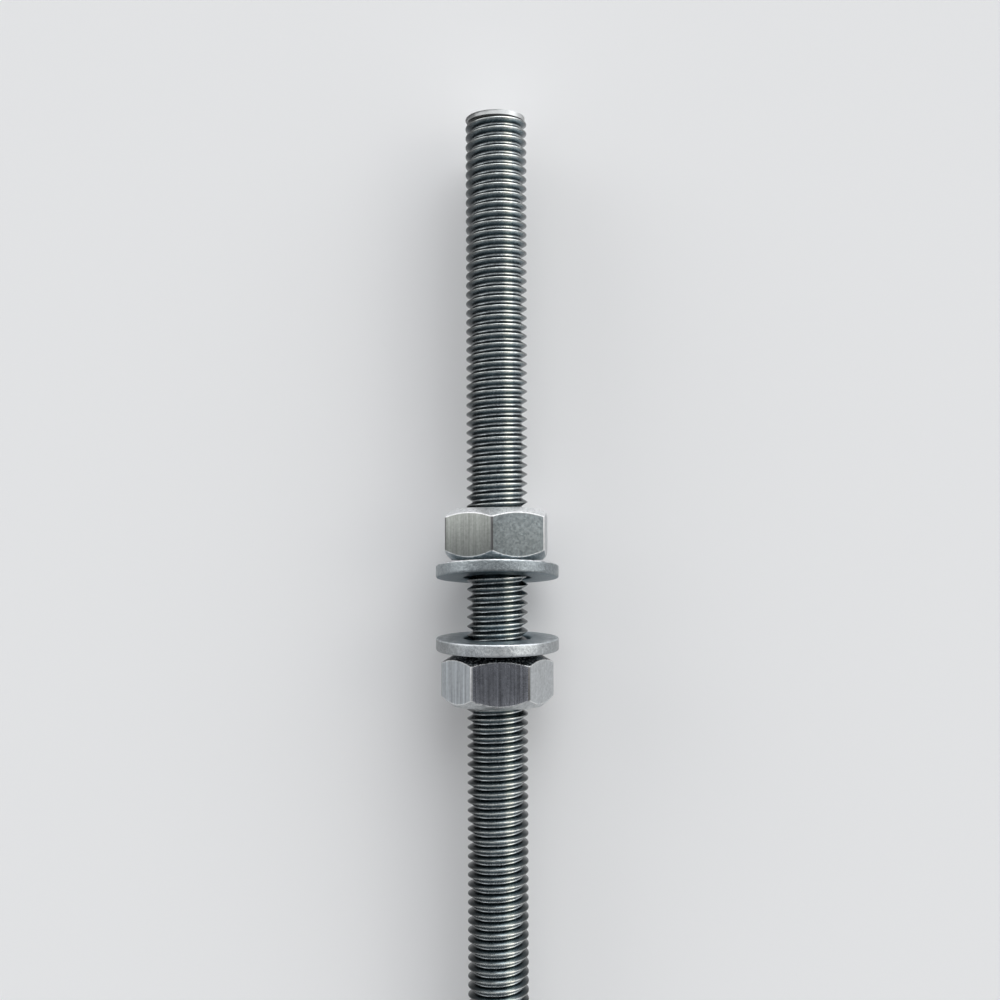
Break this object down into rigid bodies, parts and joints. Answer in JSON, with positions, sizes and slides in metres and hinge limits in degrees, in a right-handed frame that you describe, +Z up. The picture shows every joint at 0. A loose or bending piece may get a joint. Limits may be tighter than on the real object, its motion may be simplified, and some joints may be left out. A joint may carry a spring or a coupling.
{
  "type": "threaded rod with nuts and washers",
  "caption": "Fully threaded steel rod lying on its washers, with hex nuts screwed on by the middle and a leaning plain washer at the inner face of each.",
  "frame": {"origin": "on the surface that the washers stand on, under the middle of the rod's length", "axes": "+Y along the rod towards its upper end in the picture, +Z up"},
  "size_m": [0.02, 0.16, 0.02],
  "materials": {
    "rod_zinc": "dull grey zinc on a rolled thread, darker in the roots",
    "nut_zinc": "satin zinc with drawn streaks and a fine mottle",
    "dark_nut_zinc": "satin zinc with strong drawn streaks",
    "washer_zinc": "satin zinc on a pressed washer, rough on the sheared rim"
  },
  "bodies": {
    "rod": {"threaded_rod": "rod_zinc"},
    "upper_washer": {"upper_washer": "washer_zinc"},
    "upper_nut": {"upper_nut": "nut_zinc"},
    "lower_washer": {"lower_washer": "washer_zinc"},
    "lower_nut": {"lower_nut": "dark_nut_zinc"}
  },
  "joints": [
    {"name": "upper_nut_advance", "type": "slide", "parent": "rod", "child": "upper_washer", "axis": [0, 1, 0], "range_m": [-0.00375, 0.063]},
    {"name": "upper_nut_turn", "type": "hinge", "parent": "upper_washer", "child": "upper_nut", "pos_m": [0, 0.0123, 0.00967], "axis": [0, 1, 0], "range_deg": [-901, 15121]},
    {"name": "lower_nut_advance", "type": "slide", "parent": "rod", "child": "lower_washer", "axis": [0, 1, 0], "range_m": [-0.063, 0.00375]},
    {"name": "lower_nut_turn", "type": "hinge", "parent": "lower_washer", "child": "lower_nut", "pos_m": [0, -0.0113, 0.00967], "axis": [0, 1, 0], "range_deg": [-15121, 901]}
  ],
  "couplings": [
    {"joint": "upper_nut_turn", "follows": "upper_nut_advance", "rad_per_m": 4188.8},
    {"joint": "lower_nut_turn", "follows": "lower_nut_advance", "rad_per_m": 4188.8}
  ]
}
